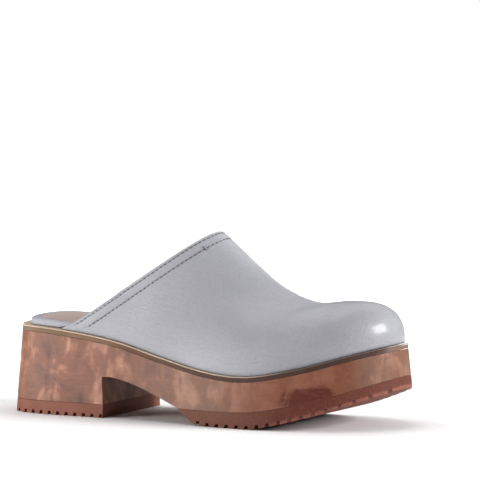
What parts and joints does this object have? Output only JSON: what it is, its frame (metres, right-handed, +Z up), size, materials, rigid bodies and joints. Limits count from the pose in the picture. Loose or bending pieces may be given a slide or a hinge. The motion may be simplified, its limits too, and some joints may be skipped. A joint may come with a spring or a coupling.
{
  "type": "platform clog",
  "caption": "Closed-toe leather mule upper on a one-piece wooden platform sole and heel, with ridged rubber treads and a padded footbed.",
  "frame": {"origin": "on the ground, under the middle of the clog's length and width", "axes": "+X towards the toe, +Y towards the inner (big toe) side, +Z up; it is a clog for the right foot"},
  "size_m": [0.2624, 0.0964, 0.117],
  "materials": {
    "tread_rubber": "matt red-brown moulded rubber with cross ridges",
    "stained_wood": "red-brown stained and waxed wood, satin",
    "dark_midsole": "dark brown matt edge",
    "natural_leather": "natural tan cut edge",
    "cork_filler": "granular cork sheet",
    "fibreboard": "matt cellulose board",
    "nail_steel": "plain wire steel",
    "latex_foam": "soft open-cell foam",
    "grey_leather": "light lavender grey pebbled leather, satin",
    "sock_leather": "unfinished pinkish beige lining leather, matt",
    "stiffener_board": "thermoplastic fibre stiffener, matt"
  },
  "bodies": {
    "root": {"heel_top_piece": "tread_rubber", "forepart_outsole": "tread_rubber", "wooden_sole": "stained_wood", "midsole": "dark_midsole", "slip_sole": "natural_leather", "bottom_filler": "cork_filler", "insole_board": "fibreboard", "insole_nail_1": "nail_steel", "insole_nail_2": "nail_steel", "insole_nail_3": "nail_steel", "insole_nail_4": "nail_steel", "insole_nail_5": "nail_steel", "insole_nail_6": "nail_steel", "footbed_foam": "latex_foam", "footbed_wrap": "grey_leather", "sock_cover": "sock_leather", "vamp": "grey_leather", "toe_puff": "stiffener_board", "vamp_lining": "sock_leather", "topline_facing": "grey_leather"}
  },
  "joints": []
}
